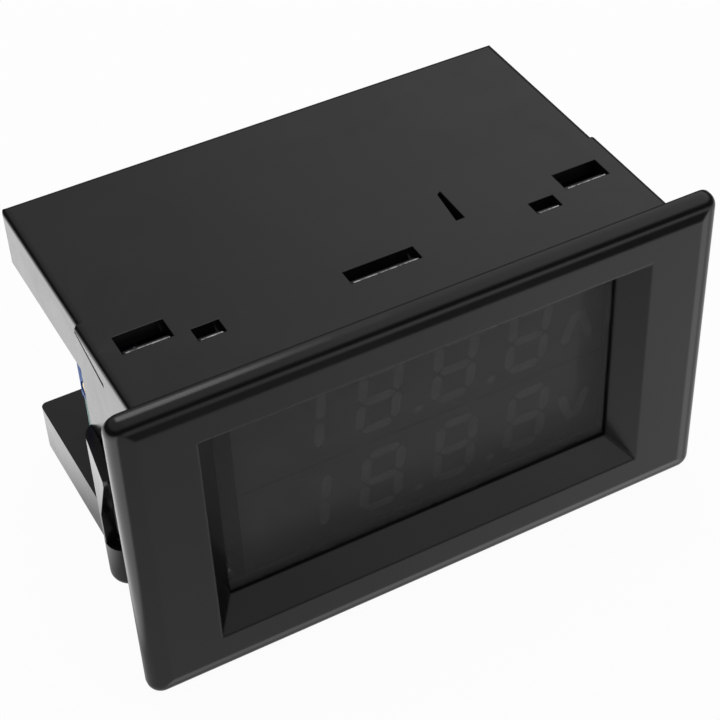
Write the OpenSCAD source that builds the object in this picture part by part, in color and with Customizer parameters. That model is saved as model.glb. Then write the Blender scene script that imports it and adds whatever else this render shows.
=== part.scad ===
// Digital panel meter: a snap-together black case with a bevelled window and a
// two-row display, which is pushed through a rectangular panel cut-out and held
// by two sprung side clips. X runs to the right, Y runs from the panel towards
// the back of the case, and Z is up. The origin is the centre of the cut-out, in
// the plane where the bezel meets the panel.

/* [Bezel] */
// Width of the bezel flange
bezel_w = 79; // [76:0.5:84]
// Height of the bezel flange
bezel_h = 45.9; // [45:0.1:50]
// Thickness of the bezel in front of the panel
bezel_t = 2.4; // [2.2:0.1:3.4]
// Corner radius of the bezel seen from the front
bezel_corner_r = 2.0; // [1.8:0.1:3]
// Radius of the round front edge
bezel_edge_r = 1.6; // [0.8:0.1:1.7]
// Width of the shallow shoulder inside the round edge
shoulder_w = 1.15; // [0.6:0.05:1.6]
// Depth of the shallow shoulder
shoulder_d = 0.35; // [0.2:0.05:0.5]

/* [Window] */
// Width of the window at the front face
window_w = 59.7; // [56:0.1:62]
// Height of the window at the front face
window_h = 33.1; // [32:0.1:34]
// Width of the sight opening at the foot of the bevels
sight_w = 54; // [50:0.5:55]
// Height of the sight opening at the foot of the bevels
sight_h = 26.8; // [26:0.1:28]
// Depth of the four sloping window faces
bevel_d = 3.2; // [2.6:0.1:3.6]
// Depth of the straight wall between the bevels and the filter
sight_wall = 2.0; // [1:0.1:2.4]
// Thickness of the smoked filter
filter_t = 1.5; // [1:0.1:2]
// Width that the filter is held by on each side
filter_lap = 2.2; // [1.2:0.1:2.4]

/* [Case] */
// Width of the case behind the clips
body_w = 70; // [69:0.5:72]
// Height of the case
body_h = 41.3; // [40:0.1:42]
// Distance of the case's middle below the bezel's middle
body_drop = 0.3; // [0:0.1:1]
// Depth of the case behind the panel
body_depth = 43.5; // [42:0.5:60]
// Wall thickness of the case
wall = 2.0; // [1.6:0.1:2.2]
// Radius of the case's long outer edges
case_edge_r = 0.9; // [0.4:0.1:1.4]
// Length of the thicker front side walls
front_len = 18.5; // [18:0.1:19.5]
// How far the front side walls stand proud of the case
front_step = 0.4; // [0.2:0.05:0.6]
// Height of the open side channels
channel_h = 25.3; // [24:0.1:26]
// Height of the case's middle above the channels' middle
channel_drop = 0.15; // [0:0.05:1]
// Distance between the outer faces of the two inner cheeks
cheek_span = 54.8; // [53:0.2:55]
// Thickness of the cheeks, the bulkhead and the channel floor
rib_t = 1.6; // [1.2:0.1:2]

/* [Snap tongues] */
// Thickness of the bezel's snap tongues
tongue_t = 1.2; // [1:0.1:1.6]
// Clearance round the bezel's tongues and skirt
snap_gap = 0.2; // [0.1:0.05:0.4]
// Width and length of the outer snap windows
outer_slot = [6.3, 3.3];
// Width and length of the inner snap windows
inner_slot = [3.5, 2.3];
// Width and length of the middle snap window
middle_slot = [9.4, 2.4];
// Distance of the outer snap windows from the middle
outer_slot_x = 29.3; // [27:0.1:29.3]
// Distance of the inner snap windows from the middle
inner_slot_x = 22.4; // [18:0.1:23]
// Distance of the outer windows' front edge from the panel
outer_slot_y = 11; // [10.5:0.1:12]
// Distance of the other windows' front edge from the panel
inner_slot_y = 8.7; // [8:0.1:9]

/* [Side clips] */
// Distance of the clip's pivot bead behind the panel
bead_y = 16.1; // [15.6:0.1:16.3]
// Running clearance between the bead and the clip
bead_gap = 0.05; // [0.02:0.01:0.1]
// Thickness of the clip round its bead
clip_ring_t = 1.45; // [1.2:0.05:1.6]
// Thickness of the clip's wing
clip_wing_t = 1.1; // [0.9:0.05:1.3]
// Height of the clip's top edge above the channels' middle
clip_top = 5.0; // [4:0.1:5.2]
// Height of the wing's lower front corner below the clip's top
clip_foot = 12.4; // [9:0.1:13]
// Length of the wing in front of the bead
clip_reach = 7.4; // [6:0.1:8]
// How far the wing's tip stands out beyond the bead ring
clip_flare = 1.0; // [0.6:0.1:1.3]
// Gap between the clip and the case above and below it
clip_gap = 0.3; // [0.2:0.05:0.5]

/* [Boards] */
// Thickness of both circuit boards
board_t = 1.6; // [1:0.1:1.6]
// Distance of the display board's front face behind the panel
display_board_y = 11.8; // [11.6:0.1:12]
// Distance of the main board's back face behind the panel
main_board_back = 22.5; // [22.5:0.1:22.8]
// Width of the display board
display_board_w = 61; // [58:0.5:61.5]
// Width over the main board's side tabs
tab_span = 69; // [67:0.2:69.4]
// Width of the main board between the trimmers
board_neck_w = 55.2; // [54:0.2:55.4]

/* [Display] */
// Height of each digit
digit_h = 10.3; // [9:0.1:11]
// Distance from one digit to the next
digit_pitch = 10.45; // [10:0.05:10.6]
// Lean of the digits, in degrees
digit_lean = 6; // [0:1:10]
// Stroke width of the segments
stroke = 1.35; // [1:0.05:1.5]
// Height of each display block
module_h = 13.6; // [13:0.1:13.8]
// Width of each display block
module_w = 52; // [50:0.5:53]
// Distance of the display blocks' middle right of the window's middle
module_x = 2.6; // [0:0.1:2.6]
// Distance of the display blocks' middle below the window's middle
module_drop = 1.45; // [0:0.05:1.6]

/* [Terminals] */
// Number of wire terminals
terminals = 4; // [4:1:4]
// Distance from one terminal to the next
terminal_pitch = 7.62; // [7:0.02:7.8]
// Height of the terminal block
terminal_h = 12; // [12:0.1:13]
// Length of the terminal block behind the main board
terminal_len = 14.5; // [14.5:0.1:16]
// Height of the terminal block's bottom above the channels' middle
terminal_rise = -0.4; // [-1:0.1:0.2]
// Radius of the terminal screws
screw_r = 1.25; // [1:0.05:1.3]
// Radius of the terminal screws' heads
screw_head_r = 1.95; // [1.7:0.05:2]
// Travel of the wire clamps
clamp_travel = 1.4; // [1.2:0.1:1.5]

/* [Trimmers] */
// Width and height of the square face of a trimmer
trimmer_s = 6.7; // [6.4:0.1:6.8]
// Thickness of a trimmer
trimmer_t = 4.5; // [4:0.1:4.6]
// Radius of a trimmer's adjusting screw
trimmer_screw_r = 1.05; // [0.8:0.05:1.2]

/* [Board parts] */
// Width, depth and height of the film capacitor
film_size = [18, 6.4, 11.3];
// Radius of the supply capacitors
can_r = 3.1; // [2.6:0.05:3.1]
// Length of the supply capacitors
can_len = 8; // [6:0.5:8]
// Radius of the varistor
disc_r = 4.2; // [3.4:0.1:4.2]
// Radius of the resistors
resistor_r = 1.15; // [0.9:0.05:1.2]
// Width, height and thickness of the driver chip
driver_size = [15.4, 7.5, 2.1];
// Width, height and thickness of the converter chip
converter_size = [17.9, 7.5, 2.1];
// Width, height and thickness of the bridge rectifier
bridge_size = [6.4, 4.6, 2.2];

/* [Hidden] */
$fn = 48;
eps = 0.01;          // overrun of a cut past a face
seat_gap = 0.05;     // close clearance between parts that seat on each other
head_depth = 2.2;    // height of a terminal screw's head
slot_w = 0.6;        // width of a screwdriver slot
slot_d = 0.8;        // depth of a screwdriver slot

// case levels and half-widths
body_top = body_h / 2 - body_drop;
body_bottom = -body_h / 2 - body_drop;
half_w = body_w / 2;
front_half_w = half_w + front_step;
inner_half_w = half_w - wall;
inner_top = body_top - wall;
inner_bottom = body_bottom + wall;
channel_mid = -body_drop - channel_drop;
channel_top = channel_mid + channel_h / 2;
channel_floor = channel_mid - channel_h / 2;
cheek_out = cheek_span / 2;
cheek_in = cheek_out - rib_t;
bulkhead_y = main_board_back + seat_gap;
bay_y = bulkhead_y + rib_t;

// bezel, skirt and filter
flat_half_w = bezel_w / 2 - bezel_edge_r - shoulder_w;
flat_half_h = bezel_h / 2 - bezel_edge_r - shoulder_w;
round_t = bezel_t - shoulder_d;
bevel_end = bevel_d - bezel_t;
filter_y = bevel_end + sight_wall;
filter_back = filter_y + filter_t;
filter_w = sight_w + 2 * filter_lap;
filter_h = sight_h + 2 * filter_lap;
skirt_len = filter_back + 1.2;
skirt_half_w = inner_half_w - snap_gap;
skirt_top = inner_top - snap_gap;
skirt_bottom = inner_bottom + snap_gap;
barb_rise = wall - 0.45;   // the barbs stop short of the case's outer face

// snap windows: [x, front edge y, width, length]
snaps = [
    [-outer_slot_x, outer_slot_y, outer_slot[0], outer_slot[1]],
    [-inner_slot_x, inner_slot_y, inner_slot[0], inner_slot[1]],
    [0, inner_slot_y, middle_slot[0], middle_slot[1]],
    [inner_slot_x, inner_slot_y, inner_slot[0], inner_slot[1]],
    [outer_slot_x, outer_slot_y, outer_slot[0], outer_slot[1]]
];
rib_slot_x = 12.2;         // narrow core slot in the roof
rib_slot_y = 12.65;
rib_slot_len = 5.95;
rib_slot_w = 1.2;

// side clips
front_wall_t = front_half_w - inner_half_w;
bead_r = front_wall_t / 2;
bead_x = inner_half_w + bead_r;
ring_in = bead_r + bead_gap;
ring_out = ring_in + clip_ring_t;
neck_t = 1.4;              // wall thickness just in front of the bead
neck_y = bead_y - clip_reach;
clip_z1 = channel_mid + clip_top;
clip_z0 = channel_floor + seat_gap;
lug_bottom = body_bottom + 0.7;

// boards
display_board_top = skirt_top - tongue_t - 0.35;
display_board_bottom = skirt_bottom + tongue_t + 0.35;
display_board_back = display_board_y + board_t;
main_board_y = main_board_back - board_t;
tab_top = trimmer_z() - seat_gap;
main_board_top = inner_top - 0.4;
main_board_bottom = inner_bottom + 0.4;
board_foot_w = 2 * inner_half_w - 0.8;
board_gap = main_board_y - display_board_back;
mount_hole_x = 24;
mount_hole_top = inner_top - 3.15;
mount_hole_low = channel_floor + 2.7;
spacer_x = 17;
spacer_top = display_board_top - 2.4;
spacer_low = display_board_bottom + 2.4;
spacer_r = 2.4;
header_n = 10;
header_pitch = 2.54;
header_z = display_board_bottom + 1.0;
header_t = 2.5;
peg_r = 1.3;
peg_gap = 0.1;
boss_r = 2.4;
boss_len = 4;
board_screw_r = 0.95;

// board parts
film_right = 4.5;
film_top = main_board_top - 1.15;
can_x = 6.2;
can_top = main_board_top - can_r - 1.65;
can_pitch = 2 * can_r + 0.4;
disc_x = board_neck_w / 2 - 6.2;
disc_z = main_board_top - 11.55;
bridge_z = main_board_top - 12.55;
converter_z = channel_mid - 1.05;
driver_z = display_board_bottom + 10.2;
resistor_x = 14.6;
resistor_top = channel_mid - 1.55;
resistor_pitch = 3.5;

// display
module_y = filter_back + seat_gap;
module_t = display_board_y - module_y;
row_z = [-module_drop + module_h / 2 + 0.05, -module_drop - module_h / 2 - 0.05];
digit_w = digit_h * 0.6;
segment_t = 1.0;
segment_gap = 0.3;
digit_x = [-3.9, -3.9 + digit_pitch, -3.9 + 2 * digit_pitch];
lead_digit_x = -11.9;
unit_x = 24.2;
unit_z = -1.3;
unit_len = 5.6;
unit_tilt = 19;
unit_spread = unit_len * sin(unit_tilt) + 0.45;

// terminals
tb_bottom = channel_mid + terminal_rise;
tb_top = tb_bottom + terminal_h;
tb_w = terminals * terminal_pitch;
tb_back = main_board_back + terminal_len;
tb_axis_z = tb_bottom + 5.4;
head_y = tb_back - head_depth - 1.6;
web_t = 1.2;
chamber_back = head_y - seat_gap - web_t;
clamp_half_w = 2.7;
clamp_half_h = 2.5;
clamp_wall = 0.8;
clamp_nut_t = 1.2;
clamp_gap = 0.2;
clamp_back = chamber_back - clamp_travel - clamp_gap;
clamp_front = clamp_back - 5.6;
contact_t = 0.7;
contact_y = clamp_back - clamp_nut_t - contact_t - 0.25;
screw_tip = clamp_back - clamp_nut_t - 0.1;
entry_w = 3.6;
leg_z = tb_axis_z + clamp_half_h + 0.7;
leg_t = 0.6;

// trimmers
trimmer_y = main_board_y - 2.2;
trimmer_bottom = trimmer_z();
trimmer_x = tab_span / 2;
trimmer_bore_y = trimmer_y + trimmer_t - trimmer_screw_r - 0.5;
trimmer_bore_z = trimmer_bottom + trimmer_screw_r + 0.7;
trimmer_bore_len = 3;

function trimmer_z() = -body_drop - channel_drop + channel_h / 2 - trimmer_s - 0.25;
function terminal_x(i) = (i - (terminals - 1) / 2) * terminal_pitch;

// ---------- shared shapes ----------

// a box given by its limits along x, y and z
module block(x, y, z) {
    translate([x[0], y[0], z[0]])
        cube([x[1] - x[0], y[1] - y[0], z[1] - z[0]]);
}

// a drawing in x and z, made len deep from y = y0 backwards
module slab_y(y0, len) {
    translate([0, y0 + len, 0])
        rotate([90, 0, 0])
            linear_extrude(len) children();
}

// a drawing in y and z, made len long from x = x0 to the right
module slab_x(x0, len) {
    translate([x0, 0, 0])
        rotate([90, 0, 90])
            linear_extrude(len) children();
}

// a drawing in x and y, made len high from z = z0 upwards
module slab_z(z0, len) {
    translate([0, 0, z0])
        linear_extrude(len) children();
}

// a rectangle about the origin with round corners
module round_rect(w, h, r) {
    square([w, h - 2 * r], center = true);
    square([w - 2 * r, h], center = true);
    for (sx = [-1, 1], sy = [-1, 1])
        translate([sx * (w / 2 - r), sy * (h / 2 - r)]) circle(r);
}

// a cylinder of radius r along y, from y0 backwards over len
module rod_y(x, z, r, y0, len) {
    translate([x, y0 + len, z])
        rotate([90, 0, 0])
            cylinder(r = r, h = len);
}

// copies children to the right-hand side as a mirror image
module both_sides() {
    children();
    mirror([1, 0, 0]) children();
}

// a box whose four sides slope evenly from half sizes a at y0 to half sizes b at y1
module tapered_box(a, b, y0, y1) {
    reach = 2 * max(a[0], a[1], b[0], b[1]);
    intersection() {
        slab_z(-reach / 2, reach)
            polygon([[-a[0], y0], [a[0], y0], [b[0], y1], [-b[0], y1]]);
        slab_x(-reach / 2, reach)
            polygon([[y0, -a[1]], [y0, a[1]], [y1, b[1]], [y1, -b[1]]]);
    }
}

// ---------- bezel ----------

// half of the rounded edge's section: outward from the corner centre, forward up
module edge_section() {
    land = round_t - bezel_edge_r;
    difference() {
        square([bezel_corner_r, round_t]);
        translate([bezel_corner_r - bezel_edge_r, land]) difference() {
            square([bezel_edge_r + eps, bezel_edge_r + eps]);
            circle(bezel_edge_r);
        }
    }
}

module flange() {
    cx = bezel_w / 2 - bezel_corner_r;
    cz = bezel_h / 2 - bezel_corner_r;
    rotate([90, 0, 0]) {
        linear_extrude(round_t) square([2 * cx, 2 * cz], center = true);
        for (turn = [0, 180]) rotate(turn) {
            translate([cx, cz, 0]) rotate([90, 0, 0])
                linear_extrude(2 * cz) edge_section();
            translate([-cx, cz, 0]) rotate([90, 0, 90])
                linear_extrude(2 * cx) edge_section();
        }
        for (corner = [[1, 1, 0], [-1, 1, 90], [-1, -1, 180], [1, -1, 270]])
            translate([corner[0] * cx, corner[1] * cz, 0]) rotate(corner[2])
                rotate_extrude(angle = 90) edge_section();
    }
    tapered_box([flat_half_w, flat_half_h],
        [flat_half_w + shoulder_w, flat_half_h + shoulder_w], -bezel_t, -round_t);
}

// one snap tongue under the case's top wall; the barb rises into its window
module tongue(snap) {
    w = snap[2] - 2 * snap_gap - 0.2;
    front = snap[1] + seat_gap;
    back = snap[1] + snap[3] - 0.35;
    z = skirt_top - tongue_t;
    translate([snap[0] - w / 2, 0, 0])
        slab_x(0, w)
            polygon([
                [0, z], [back, z], [back, skirt_top], [front + 1.1, skirt_top + barb_rise],
                [front, skirt_top + barb_rise], [front, skirt_top], [0, skirt_top]
            ]);
}

module front_bezel() {
    color([0.09, 0.09, 0.095]) difference() {
        union() {
            flange();
            block([-skirt_half_w, skirt_half_w], [-eps, skirt_len], [skirt_bottom, skirt_top]);
            for (snap = snaps) {
                tongue(snap);
                translate([0, 0, -2 * body_drop]) mirror([0, 0, 1]) tongue(snap);
            }
        }
        tapered_box([window_w / 2, window_h / 2], [sight_w / 2, sight_h / 2], -bezel_t, bevel_end);
        block([-sight_w / 2, sight_w / 2], [bevel_end - eps, skirt_len + eps],
            [-sight_h / 2, sight_h / 2]);
        block([-filter_w / 2 - snap_gap, filter_w / 2 + snap_gap], [filter_y, skirt_len + eps],
            [-filter_h / 2 - snap_gap, filter_h / 2 + snap_gap]);
    }
}

module display_filter() {
    color([0.05, 0.05, 0.06, 0.6])
        block([-filter_w / 2, filter_w / 2], [filter_y, filter_back], [-filter_h / 2, filter_h / 2]);
}

// ---------- case ----------

// the case's outside: round long edges, round rear edges, thicker front sides
module case_outside() {
    r = case_edge_r;
    slab = body_depth + 20;
    translate([0, 0, -body_drop]) {
        slab_y(0, front_len) round_rect(2 * front_half_w, body_h, r);
        intersection() {
            slab_y(0, body_depth) round_rect(body_w, body_h, r);
            slab_z(-body_h / 2 - 1, body_h + 2)
                translate([0, body_depth - slab / 2]) round_rect(body_w, slab, r);
            slab_x(-half_w - 1, body_w + 2)
                translate([body_depth - slab / 2, 0]) round_rect(slab, body_h, r);
        }
    }
}

// a snap window through the top wall
module snap_window(snap) {
    block([snap[0] - snap[2] / 2, snap[0] + snap[2] / 2], [snap[1], snap[1] + snap[3]],
        [inner_top - eps, body_top + eps]);
}

// fine relief slits that free the front of each side wall
module side_slits() {
    slab_x(-front_half_w - eps, front_wall_t + 2 * eps) {
        polygon([
            [front_len + eps, channel_top + 7.5], [front_len + eps, channel_top + 7.2],
            [front_len - 8.1, channel_top + 4.9], [front_len - 8.1, channel_top + 5.5]
        ]);
        polygon([
            [front_len, channel_top - eps], [front_len + 0.5, channel_top - eps],
            [front_len + 0.35, channel_top + 3.8], [front_len, channel_top + 3.8]
        ]);
    }
}

// the gap in the side wall that the clip closes, with the bead it swings on
module clip_gap_cut() {
    block([-front_half_w - eps, -inner_half_w + eps], [neck_y, front_len + eps],
        [channel_floor, clip_z1 + clip_gap]);
}

module clip_bead() {
    height = clip_z1 + clip_gap - channel_floor;
    translate([-bead_x, bead_y, channel_floor]) cylinder(r = bead_r, h = height);
    block([-bead_x - neck_t / 2, -bead_x + neck_t / 2], [neck_y - eps, bead_y],
        [channel_floor, channel_floor + height]);
}

// the post under the clip, round like the clip's own heel
module clip_lug() {
    r = 1.2;
    translate([-bead_x, bead_y, lug_bottom]) rotate_extrude() {
        translate([0, r]) square([ring_out, channel_floor - clip_gap - lug_bottom - r]);
        square([ring_out - r, r + eps]);
        intersection() {
            translate([ring_out - r, r]) circle(r);
            square([ring_out, r + eps]);
        }
    }
}

module screw_boss(x, z) {
    rod_y(x, z, boss_r, bay_y - eps, boss_len);
}

module housing() {
    inner_y = body_depth - wall;
    terminal_clear = 0.4;
    color([0.1, 0.1, 0.105]) difference() {
        union() {
            difference() {
                case_outside();
                // front cavity
                block([-inner_half_w, inner_half_w], [-eps, bulkhead_y], [inner_bottom, inner_top]);
                // hollow roof and hollow floor box
                block([-inner_half_w, inner_half_w], [bay_y, inner_y], [channel_top - eps, inner_top]);
                block([-inner_half_w, inner_half_w], [bulkhead_y - eps, inner_y],
                    [inner_bottom, channel_floor - rib_t]);
                // terminal bay and side channels, open at the back
                block([-cheek_in, cheek_in], [bay_y, body_depth + 1], [channel_floor, channel_top]);
                both_sides() block([cheek_out, front_half_w + 1], [front_len, body_depth + 1],
                    [channel_floor, channel_top]);
                both_sides() clip_gap_cut();
                for (snap = snaps) {
                    snap_window(snap);
                    translate([0, 0, -2 * body_drop]) mirror([0, 0, 1]) snap_window(snap);
                }
                // core slot in the roof, a little narrower at its back
                slab_z(inner_top - eps, wall + 2 * eps)
                    polygon([
                        [rib_slot_x - rib_slot_w / 2, rib_slot_y],
                        [rib_slot_x + rib_slot_w / 2, rib_slot_y],
                        [rib_slot_x + rib_slot_w / 2, rib_slot_y + rib_slot_len],
                        [rib_slot_x, rib_slot_y + rib_slot_len - 0.4]
                    ]);
                both_sides() side_slits();
            }
            both_sides() {
                clip_bead();
                clip_lug();
                // cheek between the roof and the channel floor
                block([-cheek_out, -cheek_in], [bay_y - eps, body_depth - 1],
                    [channel_floor - eps, inner_top + eps]);
                screw_boss(-mount_hole_x, mount_hole_top);
                screw_boss(-mount_hole_x, mount_hole_low);
            }
            // roof ribs
            for (x = [-cheek_in / 2, cheek_in / 2])
                block([x - 0.6, x + 0.6], [bay_y - eps, inner_y + eps],
                    [channel_top + 2, inner_top + eps]);
        }
        // the terminal block's window in the bulkhead
        block([-tb_w / 2 - terminal_clear, tb_w / 2 + terminal_clear],
            [bulkhead_y - eps, bay_y + eps], [tb_bottom - terminal_clear, tb_top + terminal_clear]);
        for (x = [-mount_hole_x, mount_hole_x], z = [mount_hole_top, mount_hole_low])
            rod_y(x, z, board_screw_r + seat_gap, bulkhead_y - eps, boss_len + rib_t - 0.8);
    }
}

// ---------- side clips ----------

// a clip seen from above, about its bead: a heel round the bead and a flared wing
module clip_plan() {
    wrap = 25; // degrees that the heel reaches past the bead's middle
    tip_out = ring_out + clip_flare;
    difference() {
        circle(ring_out);
        circle(ring_in);
        // mouth of the heel, where the wall's neck passes
        polygon([
            [0, 0], [-ring_out * tan(90 - wrap), -ring_out],
            [ring_out * tan(90 - wrap), -ring_out]
        ]);
    }
    polygon([
        [-ring_out, 0], [-tip_out, -clip_reach + 0.3], [-tip_out + 0.5, -clip_reach],
        [-tip_out + clip_wing_t, -clip_reach], [-ring_in - 0.2, -1.6], [-ring_in - 0.02, 0]
    ]);
}

module clip() {
    foot_z = clip_z1 - clip_foot;
    difference() {
        slab_z(clip_z0, clip_z1 - clip_z0) clip_plan();
        // the wing's front edge slants back down to the heel
        slab_x(-ring_out - clip_flare - 1, ring_out + clip_flare + 0.5)
            polygon([
                [-clip_reach - 1, clip_z0 - 1], [-clip_reach - 1, clip_z1 - 0.4],
                [-clip_reach, clip_z1 - 0.4], [-0.3, foot_z], [-0.3, clip_z0 - 1]
            ]);
    }
}

module left_clip() {
    color([0.12, 0.12, 0.125]) translate([-bead_x, bead_y, 0]) clip();
}

module right_clip() {
    color([0.12, 0.12, 0.125]) mirror([1, 0, 0]) translate([-bead_x, bead_y, 0]) clip();
}

// ---------- display ----------

// one segment lying along x, with pointed ends
module bar_segment(len) {
    h = stroke / 2;
    polygon([[-len / 2, 0], [-len / 2 + h, h], [len / 2 - h, h], [len / 2, 0],
        [len / 2 - h, -h], [-len / 2 + h, -h]]);
}

// the seven segments of a digit, drawn with its lean
module digit_shape(grow) {
    col = digit_w / 2 - stroke / 2;
    row = digit_h / 2 - stroke / 2;
    bar = digit_w - stroke - segment_gap;
    post = row - segment_gap;
    lean = tan(digit_lean);
    for (z = [-row, 0, row])
        translate([z * lean, z]) scale(grow) bar_segment(bar);
    for (x = [-col, col], z = [-row / 2, row / 2])
        translate([x + z * lean, z]) rotate(90 - digit_lean) scale(grow) bar_segment(post);
}

// one display row: three full digits, a leading one, two points and a unit mark
// of two slanting strokes, which meets at its top (up = 1) or at its foot (up = -1)
module row_shape(grow, up) {
    lean = tan(digit_lean);
    row = digit_h / 2 - stroke / 2;
    for (x = digit_x)
        translate([x, 0]) digit_shape(grow);
    for (z = [-row / 2, row / 2])
        translate([lead_digit_x + z * lean, z]) rotate(90 - digit_lean) scale(grow)
            bar_segment(row - segment_gap);
    for (x = [digit_x[0], digit_x[1]])
        translate([x + digit_pitch / 2, -row]) circle(0.6 * grow);
    for (side = [-1, 1])
        translate([unit_x + side * unit_spread / 2, unit_z])
            rotate(90 + side * up * unit_tilt) scale(grow) bar_segment(unit_len);
}

module display_block(z, up) {
    x0 = module_x - module_w / 2;
    color([0.16, 0.16, 0.17]) difference() {
        block([x0, x0 + module_w], [module_y, display_board_y],
            [z - module_h / 2, z + module_h / 2]);
        translate([0, 0, z]) slab_y(module_y - eps, segment_t + eps) row_shape(1, up);
    }
}

module upper_display() {
    display_block(row_z[0], 1);
}

module lower_display() {
    display_block(row_z[1], -1);
}

module segment_set(z, up) {
    color([0.5, 0.5, 0.5]) translate([0, 0, z])
        slab_y(module_y, segment_t) row_shape(0.97, up);
}

module upper_segments() {
    segment_set(row_z[0], 1);
}

module lower_segments() {
    segment_set(row_z[1], -1);
}

// ---------- boards and what joins them ----------

// the holes that the spacers' pegs snap into
module peg_holes(y0) {
    for (x = [-spacer_x, spacer_x], z = [spacer_top, spacer_low])
        rod_y(x, z, peg_r + peg_gap, y0 - eps, board_t + 2 * eps);
}

module display_board() {
    color([0.05, 0.3, 0.16]) difference() {
        block([-display_board_w / 2, display_board_w / 2], [display_board_y, display_board_back],
            [display_board_bottom, display_board_top]);
        peg_holes(display_board_y);
    }
}

module main_board() {
    neck = board_neck_w / 2;
    tab = tab_span / 2;
    foot = board_foot_w / 2;
    tab_foot = channel_floor + 0.2;
    color([0.05, 0.3, 0.16]) difference() {
        slab_y(main_board_y, board_t)
            polygon([
                [-neck, main_board_top], [neck, main_board_top], [neck, tab_top], [tab, tab_top],
                [tab, tab_foot], [foot, tab_foot], [foot, main_board_bottom],
                [-foot, main_board_bottom], [-foot, tab_foot], [-tab, tab_foot],
                [-tab, tab_top], [-neck, tab_top]
            ]);
        peg_holes(main_board_y);
        for (x = [-mount_hole_x, mount_hole_x], z = [mount_hole_top, mount_hole_low])
            rod_y(x, z, board_screw_r + 0.15, main_board_y - eps, board_t + 2 * eps);
    }
}

// nylon spacers between the boards, with a snap peg at each end
module board_spacers() {
    peg_len = board_t - seat_gap;
    color([0.9, 0.9, 0.88])
        for (x = [-spacer_x, spacer_x], z = [spacer_top, spacer_low]) {
            rod_y(x, z, spacer_r, display_board_back, board_gap);
            rod_y(x, z, peg_r, display_board_back - peg_len, peg_len + eps);
            rod_y(x, z, peg_r, main_board_y - eps, peg_len + eps);
        }
}

// four screws that hold the main board to the bulkhead
module board_screws() {
    head_r = 1.9;
    head_t = 1.3;
    shank_end = bay_y + boss_len - 1.4;
    color([0.75, 0.75, 0.77])
        for (x = [-mount_hole_x, mount_hole_x], z = [mount_hole_top, mount_hole_low])
            difference() {
                union() {
                    rod_y(x, z, head_r, main_board_y - head_t, head_t);
                    rod_y(x, z, board_screw_r, main_board_y - eps, shank_end - main_board_y);
                }
                for (turn = [0, 90])
                    translate([x, main_board_y - head_t - eps, z]) rotate([0, turn, 0])
                        block([-1.2, 1.2], [0, 0.7], [-0.25, 0.25]);
            }
}

// a square pin or its hole, from one board to the other
module header_pin(i, half) {
    x = (i - (header_n - 1) / 2) * header_pitch;
    block([x - half, x + half], [display_board_back, main_board_y],
        [header_z - half, header_z + half]);
}

module board_header() {
    w = header_n * header_pitch;
    half = header_pitch / 2;
    color([0.08, 0.08, 0.08]) difference() {
        for (y = [display_board_back, main_board_y - header_t])
            block([-w / 2, w / 2], [y, y + header_t], [header_z - 1, header_z + half]);
        for (i = [0:header_n - 1]) header_pin(i, 0.34);
    }
}

module header_pins() {
    color([0.85, 0.7, 0.35])
        for (i = [0:header_n - 1]) header_pin(i, 0.32);
}

// ---------- board parts ----------

// a flat chip package with two rows of legs, back to the board at y, lying towards side
module chip(x, z, size, y, side, legs) {
    w = size[0];
    h = size[1];
    t = size[2];
    pitch = (w - 1) / legs;
    foot = 0.25;
    y_top = y + side * (t + foot);
    block([x - w / 2, x + w / 2], [min(y + side * foot, y_top), max(y + side * foot, y_top)],
        [z - h / 2, z + h / 2]);
    for (i = [0:legs - 1], row = [-1, 1]) {
        leg_x = x + (i - (legs - 1) / 2) * pitch;
        inner = z + row * (h / 2 - 0.05);
        outer = z + row * (h / 2 + 0.9);
        foot_z = z + row * (h / 2 + 0.6);
        block([leg_x - 0.2, leg_x + 0.2],
            [min(y + side * (foot + t / 2), y + side * (foot + t / 2 + 0.2)),
                max(y + side * (foot + t / 2), y + side * (foot + t / 2 + 0.2))],
            [min(inner, outer), max(inner, outer)]);
        block([leg_x - 0.2, leg_x + 0.2], [min(y, y + side * (foot + t / 2 + 0.1)),
                max(y, y + side * (foot + t / 2 + 0.1))],
            [min(foot_z, outer), max(foot_z, outer)]);
    }
}

module driver_chip() {
    color([0.07, 0.07, 0.07]) chip(0, driver_z, driver_size, display_board_back, 1, 12);
}

module converter_chip() {
    color([0.07, 0.07, 0.07]) chip(0, converter_z, converter_size, main_board_y, -1, 14);
}

module film_capacitor() {
    color([0.8, 0.65, 0.15])
        block([film_right - film_size[0], film_right], [main_board_y - film_size[1], main_board_y],
            [film_top - film_size[2], film_top]);
}

// two supply capacitors lying on the board, with their crimp grooves
module supply_capacitors() {
    color([0.12, 0.14, 0.3])
        for (z = [can_top, can_top - can_pitch])
            translate([can_x, main_board_y - can_r, z]) rotate([0, 90, 0])
                rotate_extrude() polygon([
                    [0, 0], [can_r - 0.3, 0], [can_r, 0.3], [can_r, 1.4], [can_r - 0.3, 1.8],
                    [can_r, 2.2], [can_r, can_len - 0.3], [can_r - 0.3, can_len], [0, can_len]
                ]);
}

// disc varistor standing flat against the board on its two leads
module varistor() {
    color([0.1, 0.25, 0.6]) {
        translate([disc_x, main_board_y - 0.2, disc_z]) rotate([90, 0, 0])
            rotate_extrude() polygon([
                [0, 0], [disc_r - 0.8, 0], [disc_r, 0.9], [disc_r, 2.3], [disc_r - 0.8, 3.2], [0, 3.2]
            ]);
        for (x = [-1.6, 1.6])
            block([disc_x + x - 0.3, disc_x + x + 0.3], [main_board_y - 0.3, main_board_y],
                [disc_z - disc_r + 1, disc_z - disc_r + 1.6]);
    }
}

module bridge_rectifier() {
    color([0.07, 0.07, 0.07]) chip(-disc_x, bridge_z, bridge_size, main_board_y, -1, 2);
}

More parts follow.
